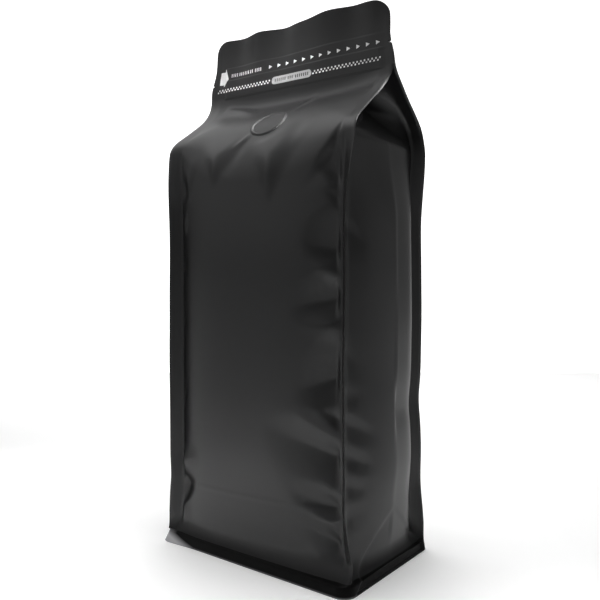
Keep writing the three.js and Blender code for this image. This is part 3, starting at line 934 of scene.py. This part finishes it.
# Matt and even, so that it shows no shine and no grain. The glow is the light that comes through.
def white_sheet_material(name, glow):
    material, _, shader = new_material(name)
    shader.inputs["Base Color"].default_value = linear("#f4f4f4")
    shader.inputs["Roughness"].default_value = 0.9
    shader.inputs["Emission Color"].default_value = linear("#ffffff")
    shader.inputs["Emission Strength"].default_value = glow
    return material


bpy.ops.mesh.primitive_plane_add(size=FLOOR_SIZE)
floor = bpy.context.object
floor.name = "paper_floor"
floor.data.materials.append(white_sheet_material("white_table_sheet", 0.22))
floor.select_set(False)

bpy.ops.mesh.primitive_grid_add(x_subdivisions=1, y_subdivisions=16, size=1)
backdrop = bpy.context.object
backdrop.name = "paper_backdrop"
rise_start = BACKDROP_AWAY - BACKDROP_COVE
for corner in backdrop.data.vertices:
    part = corner.co.y + 0.5
    angle = min(part / COVE_PART, 1) * math.pi / 2
    above_cove = max(part - COVE_PART, 0) / (1 - COVE_PART) * (BACKDROP_HEIGHT - BACKDROP_COVE)
    up = BACKDROP_COVE * (1 - math.cos(angle)) + above_cove
    away = rise_start + BACKDROP_COVE * math.sin(angle)
    corner.co = Vector((corner.co.x * BACKDROP_WIDTH, away, up + 0.0005))
backdrop.rotation_euler = (0, 0, CAMERA_TURN)
bpy.ops.object.transform_apply(rotation=True)
backdrop.data.materials.append(white_sheet_material("white_back_sheet", 0.9))
bpy.ops.object.shade_smooth()
backdrop.select_set(False)

# ---------------------------------------------------------------------------
# Light and camera
# Soft boxes two metres off: high on the left, in front to the left, and low on
# the right. Small lamps overhead light the sheet round the bag and the header.
# ---------------------------------------------------------------------------

world = bpy.data.worlds.new("studio")
bpy.context.scene.world = world
world.use_nodes = True
background = world.node_tree.nodes["Background"]
background.inputs["Color"].default_value = linear("#ffffff")
background.inputs["Strength"].default_value = 0.2


def soft_box(name, place, target, width, height, brightness, spread=180):
    """A rectangular lamp. Brightness is what a white card filling its place would show."""
    lamp = bpy.data.lights.new(name, "AREA")
    lamp.shape = "RECTANGLE"
    lamp.size, lamp.size_y = width, height
    lamp.energy = math.pi * width * height * brightness
    lamp.spread = math.radians(spread)
    box = bpy.data.objects.new(name, lamp)
    bpy.context.scene.collection.objects.link(box)
    box.location = place
    box.rotation_euler = (Vector(target) - Vector(place)).to_track_quat("-Z", "Y").to_euler()
    box.visible_camera = False


BAG_MIDDLE = Vector((0, 0, 0.16))
BOX_AWAY = 2.0
# Soft boxes round the bag: turn from the front, angle above the floor, width, height, brightness.
SOFT_BOXES = {
    "left_high_box": (270, 47, 1.1, 1.1, 1.35),
    "front_left_high_box": (315, 47, 1.1, 1.1, 0.42),
    "front_left_box": (324, 26, 2.3, 1.16, 0.46),
    "right_low_box": (120, 6, 1.07, 1.07, 0.25),
    "back_right_box": (165, 12, 0.6, 0.6, 0.2),
    "back_left_box": (225, 47, 1.1, 1.1, 0.4),
}
for name, (turn, lift, width, height, brightness) in SOFT_BOXES.items():
    turn, lift = math.radians(turn), math.radians(lift)
    away = Vector((math.sin(turn) * math.cos(lift), -math.cos(turn) * math.cos(lift), math.sin(lift)))
    soft_box(name, BAG_MIDDLE + BOX_AWAY * away, BAG_MIDDLE, width, height, brightness)

# Narrow lamps straight over the sheet round the bag, clear of it: x, y, brightness.
PAPER_LAMP_HEIGHT = 0.8
PAPER_LAMPS = [
    (-0.13, -0.17, 1.9), (0.0, -0.2, 0.8), (0.12, -0.16, 1.6), (0.2, -0.03, 0.8), (-0.3, -0.05, 1.5),
    (-0.1, 0.28, 2.2),
]
for number, (x, y, brightness) in enumerate(PAPER_LAMPS):
    soft_box(f"paper_lamp_{number}", (x, y, PAPER_LAMP_HEIGHT), (x, y, 0), 0.1, 0.1, brightness, 16)
soft_box("middle_paper_lamp", (0, 0, PAPER_LAMP_HEIGHT), (0, 0, 0), 0.2, 0.2, 2.6, 60)

toward = Vector((math.sin(CAMERA_TURN), -math.cos(CAMERA_TURN), 0))
up = Vector((0, 0, 1))
# A spot from over the camera makes the ink of the header white, and a long box lights the sheet
# behind the bag, up to the backdrop.
header_spot = Vector((0, -0.04, 0.33))
soft_box("header_lamp", header_spot + toward * 0.92 + up * 0.92, header_spot, 0.06, 0.06, 4.0, 5)
soft_box("far_paper_box", -toward * 0.65 + up * 1.2, -toward * 0.65, 1.2, 0.5, 0.95, 60)

camera_data = bpy.data.cameras.new("camera")
camera = bpy.data.objects.new("camera", camera_data)
bpy.context.scene.collection.objects.link(camera)
camera_data.lens = 42.44
camera.location = (0.2733, -0.3638, 0.1727)
aim = Vector((0.0074, -0.001, 0.1595))
camera.rotation_euler = (aim - camera.location).to_track_quat("-Z", "Y").to_euler()
bpy.context.scene.camera = camera
bpy.context.scene.view_settings.view_transform = "Standard"
